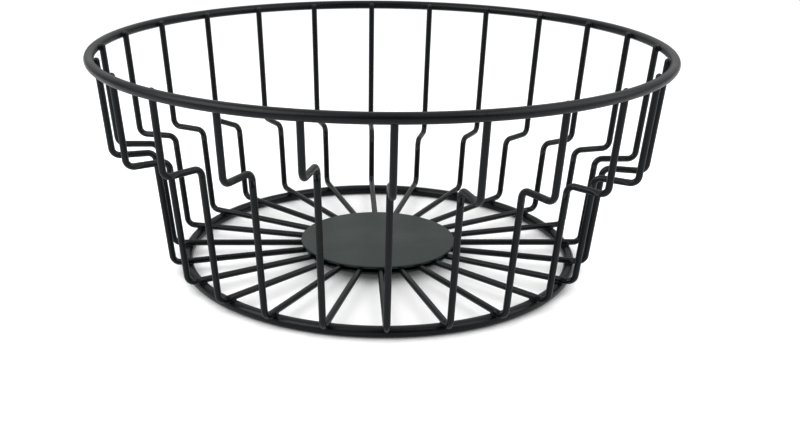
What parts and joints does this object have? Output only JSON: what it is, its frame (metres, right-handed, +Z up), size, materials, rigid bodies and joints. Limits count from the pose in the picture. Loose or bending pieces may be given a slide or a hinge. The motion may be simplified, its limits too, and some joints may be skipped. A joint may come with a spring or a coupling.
{
  "type": "wire egg basket",
  "caption": "Round stepped wire basket for gathered eggs: bent ribs hang from a rim hoop, step inward at a rising shoulder and run over a foot hoop to a clamped centre disc.",
  "frame": {"origin": "centre of the foot hoop's underside, on the surface the basket stands on", "axes": "+Z up along the bowl's axis; +Y towards the side where the ribs' shoulders are lowest, -Y towards the side where they are highest; +X to the right of a viewer looking along +Y"},
  "size_m": [0.3, 0.3, 0.118],
  "materials": {
    "coated_wire": "black powder coat, satin, on round steel wire",
    "coated_plate": "black powder coat, satin, on flat sheet steel"
  },
  "bodies": {
    "root": {"rim_ring": "coated_wire", "foot_ring": "coated_wire", "rib_01": "coated_wire", "rib_02": "coated_wire", "rib_03": "coated_wire", "rib_04": "coated_wire", "rib_05": "coated_wire", "rib_06": "coated_wire", "rib_07": "coated_wire", "rib_08": "coated_wire", "rib_09": "coated_wire", "rib_10": "coated_wire", "rib_11": "coated_wire", "rib_12": "coated_wire", "rib_13": "coated_wire", "rib_14": "coated_wire", "rib_15": "coated_wire", "rib_16": "coated_wire", "rib_17": "coated_wire", "rib_18": "coated_wire", "rib_19": "coated_wire", "rib_20": "coated_wire", "rib_21": "coated_wire", "rib_22": "coated_wire", "rib_23": "coated_wire", "rib_24": "coated_wire", "centre_disc": "coated_plate", "backing_disc": "coated_plate"}
  },
  "joints": []
}
